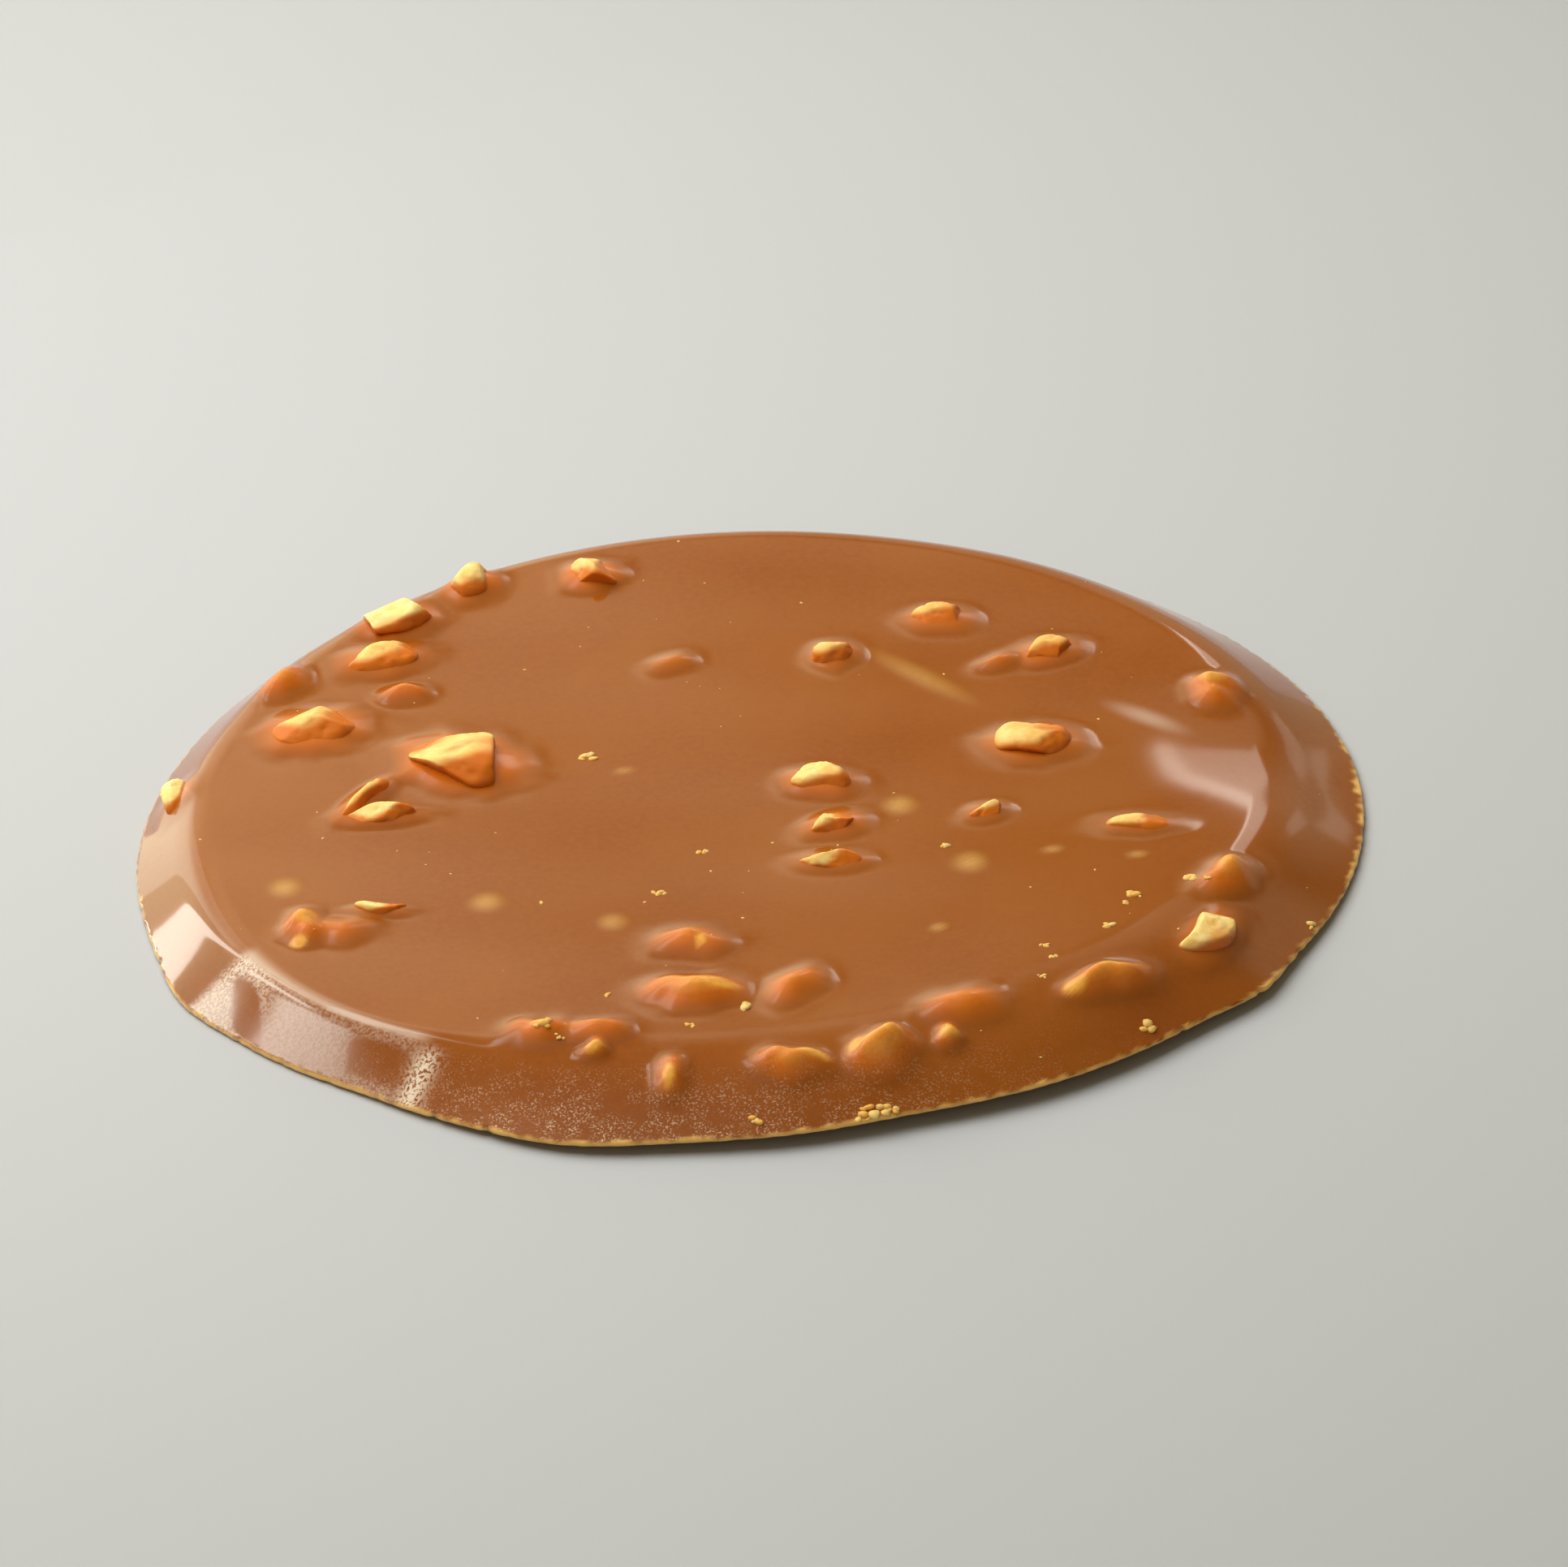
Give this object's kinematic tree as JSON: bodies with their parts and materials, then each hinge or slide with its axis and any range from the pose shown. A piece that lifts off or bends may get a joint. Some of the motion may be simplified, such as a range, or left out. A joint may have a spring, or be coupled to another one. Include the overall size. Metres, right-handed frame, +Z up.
{
  "type": "chocolate tuile",
  "caption": "Thin round milk chocolate tuile, gently bent, with a rounded lip, a fine edge and chopped roasted nuts set in its top.",
  "frame": {"origin": "on the flat foot of the underside, below the middle of the disc", "axes": "+Z up out of the nut side, +X to the right and +Y away as the nut side is looked at from the front"},
  "size_m": [0.06, 0.06, 0.0041],
  "materials": {
    "chocolate": "milk chocolate with a satin gloss, fine pale bloom on the lip",
    "nut": "roasted chopped nut, cream to golden, matt where cut"
  },
  "bodies": {
    "root": {"tuile": "chocolate"}
  },
  "joints": []
}
